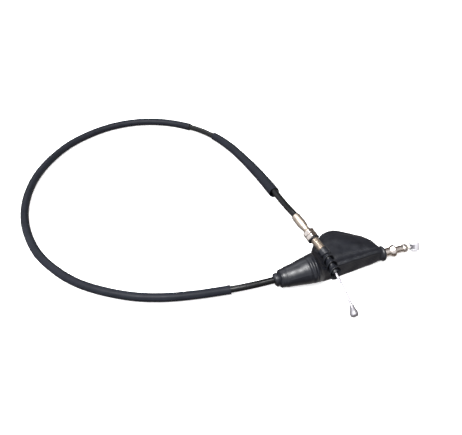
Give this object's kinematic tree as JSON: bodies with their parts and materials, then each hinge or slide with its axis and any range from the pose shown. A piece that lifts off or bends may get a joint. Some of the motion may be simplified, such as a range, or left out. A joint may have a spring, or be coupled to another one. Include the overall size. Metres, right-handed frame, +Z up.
{
  "type": "motorcycle clutch cable",
  "caption": "Motorcycle clutch control cable in an open loop: black sheathed casing, rubber lever boot, barrel and pear nipples, threaded adjuster with nuts and bellows",
  "frame": {"origin": "the middle of the rigid fittings and the boot, seen from above, at the surface they lie on; the loop of casing and its two sleeves is not counted", "axes": "+X runs along the lever end, out of the dust boot towards the barrel nipple; +Z is up from the surface; +Y points away from the engine wire's end, towards the back of the loop"},
  "size_m": [0.3549, 0.3351, 0.0378],
  "materials": {
    "rubber": "satin moulded rubber",
    "casing_plastic": "smooth glossy black sheath",
    "zinc_plate": "bright warm nickel or zinc plate",
    "wire_steel": "galvanised strand",
    "nylon": "translucent white nylon",
    "liner_plastic": "waxy off-white low-friction plastic"
  },
  "bodies": {
    "casing": {"conduit": "casing_plastic", "spiral_armour": "wire_steel", "liner": "liner_plastic", "inner_wire": "wire_steel", "long_sleeve": "rubber", "short_sleeve": "rubber", "lever_ferrule": "zinc_plate", "threaded_fitting": "zinc_plate", "bellows": "rubber"},
    "boot": {"dust_boot": "rubber"},
    "lever_wire_end": {"lever_wire": "wire_steel", "barrel_nipple": "zinc_plate"},
    "bush": {"nylon_bush": "nylon"},
    "engine_wire_end": {"engine_wire": "wire_steel", "pear_nipple": "zinc_plate"},
    "adjusting_nut_body": {"adjusting_nut": "zinc_plate"},
    "lock_nut_body": {"lock_nut": "zinc_plate"},
    "washer_body": {"rubber_washer": "rubber"}
  },
  "joints": [
    {"name": "boot_slide", "type": "slide", "parent": "casing", "child": "boot", "axis": [1, 0, 0], "range_m": [-0.012, 0]},
    {"name": "lever_wire_slide", "type": "slide", "parent": "casing", "child": "lever_wire_end", "axis": [1, 0, 0], "range_m": [0, 0.012]},
    {"name": "bush_turn", "type": "hinge", "parent": "lever_wire_end", "child": "bush", "pos_m": [0.0658, 0.0045, 0.0072], "axis": [0, 0.5, 0.866], "range_deg": [-10, 10]},
    {"name": "engine_wire_slide", "type": "slide", "parent": "casing", "child": "engine_wire_end", "axis": [-0.2022, 0.9456, 0.2547], "range_m": [0, 0.012]},
    {"name": "adjusting_nut_turn", "type": "hinge", "parent": "casing", "child": "adjusting_nut_body", "pos_m": [-0.0272, 0.0105, 0.026], "axis": [0.2541, -0.9482, -0.1908], "continuous": true},
    {"name": "lock_nut_turn", "type": "hinge", "parent": "casing", "child": "lock_nut_body", "pos_m": [-0.0272, 0.0105, 0.026], "axis": [0.2541, -0.9482, -0.1908], "continuous": true},
    {"name": "washer_turn", "type": "hinge", "parent": "casing", "child": "washer_body", "pos_m": [-0.0272, 0.0105, 0.026], "axis": [0.2541, -0.9482, -0.1908], "continuous": true}
  ],
  "couplings": [
    {"joint": "engine_wire_slide", "follows": "lever_wire_slide", "ratio": 1}
  ]
}
